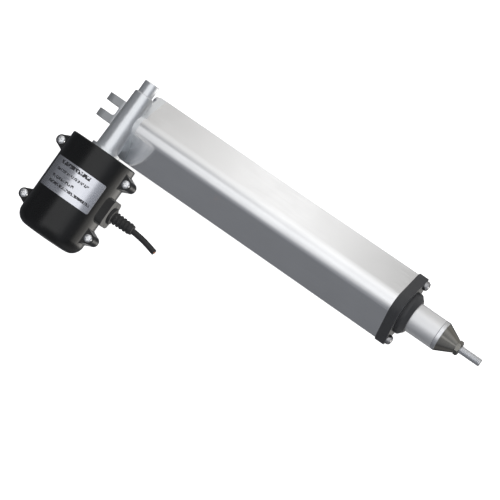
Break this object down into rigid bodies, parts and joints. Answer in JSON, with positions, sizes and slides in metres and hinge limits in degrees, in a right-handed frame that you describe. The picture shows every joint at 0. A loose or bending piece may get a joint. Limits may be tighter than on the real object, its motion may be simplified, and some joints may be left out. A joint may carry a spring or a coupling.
{
  "type": "linear actuator",
  "caption": "Worm-gear linear actuator: square aluminium tube with a telescoping steel rod and end stud, rear clevis, and a side motor under a split black cover with a cable.",
  "frame": {"origin": "centre of the rear clevis pin", "axes": "+X the way the rod extends, -Y towards the motor's end, +Z towards the side that carries the worm tunnel"},
  "size_m": [0.4505, 0.179, 0.0931],
  "materials": {
    "cast_aluminium": "satin die-cast",
    "anodised_aluminium": "satin anodised",
    "cap_plastic": "matte dark grey",
    "cover_plastic": "satin black",
    "rubber": "matte",
    "white_plastic": "matte",
    "rod_steel": "satin",
    "dark_steel": "polished dark",
    "zinc_steel": "bright zinc",
    "black_steel": "black oxide",
    "bearing_steel": "polished",
    "bronze": "plain",
    "copper": "enamelled",
    "ferrite": "matte",
    "foil": "brushed foil",
    "circuit_board": "satin",
    "carbon": "matte"
  },
  "bodies": {
    "frame": {"gear_housing": "cast_aluminium", "bearing_carrier": "cast_aluminium", "main_bearing": "bearing_steel", "bearing_circlip": "black_steel", "rear_bush": "bronze", "outer_tube": "anodised_aluminium", "guide_bush": "white_plastic", "front_gasket": "rubber", "front_cap": "cap_plastic", "wiper_seal": "rubber", "front_cap_screws": "zinc_steel", "rear_flange_screws": "zinc_steel", "limit_switch_rail": "circuit_board", "limit_switches": "cap_plastic", "worm_upper_bearing": "bearing_steel", "worm_lower_bearing": "bearing_steel", "worm_end_plug": "cast_aluminium", "motor_can": "zinc_steel", "motor_front_plate": "zinc_steel", "motor_mount_screws": "zinc_steel", "motor_rear_bush": "bronze", "motor_magnets": "ferrite", "brush_plate": "circuit_board", "brushes": "carbon", "motor_cover_front": "cover_plastic", "motor_cover_rear": "cover_plastic", "motor_cover_screws": "zinc_steel", "nameplate": "foil", "cable_strain_relief": "rubber", "power_cable": "rubber"},
    "rotor": {"worm_shaft": "bearing_steel", "armature_core": "bearing_steel", "armature_windings": "copper", "commutator": "copper"},
    "screw": {"lead_screw": "bearing_steel", "worm_wheel": "bronze", "wheel_key": "bearing_steel", "wheel_circlip": "black_steel"},
    "rod": {"rod_tube": "rod_steel", "drive_nut": "bronze", "nut_slide": "white_plastic", "rod_end_ring": "zinc_steel", "rod_end_cone": "dark_steel", "end_stud": "zinc_steel", "stud_nut": "dark_steel"}
  },
  "joints": [
    {"name": "motor_spin", "type": "hinge", "parent": "frame", "child": "rotor", "pos_m": [0.027, 0, 0.025], "axis": [0, -1, 0], "range_deg": [0, 522000]},
    {"name": "screw_spin", "type": "hinge", "parent": "frame", "child": "screw", "pos_m": [0.2, 0, 0], "axis": [-1, 0, 0], "range_deg": [0, 18000]},
    {"name": "rod_slide", "type": "slide", "parent": "frame", "child": "rod", "axis": [1, 0, 0], "range_m": [0, 0.25]}
  ],
  "couplings": [
    {"joint": "screw_spin", "follows": "motor_spin", "ratio": 0.034483},
    {"joint": "rod_slide", "follows": "motor_spin", "m_per_rad": 0.000027441}
  ]
}
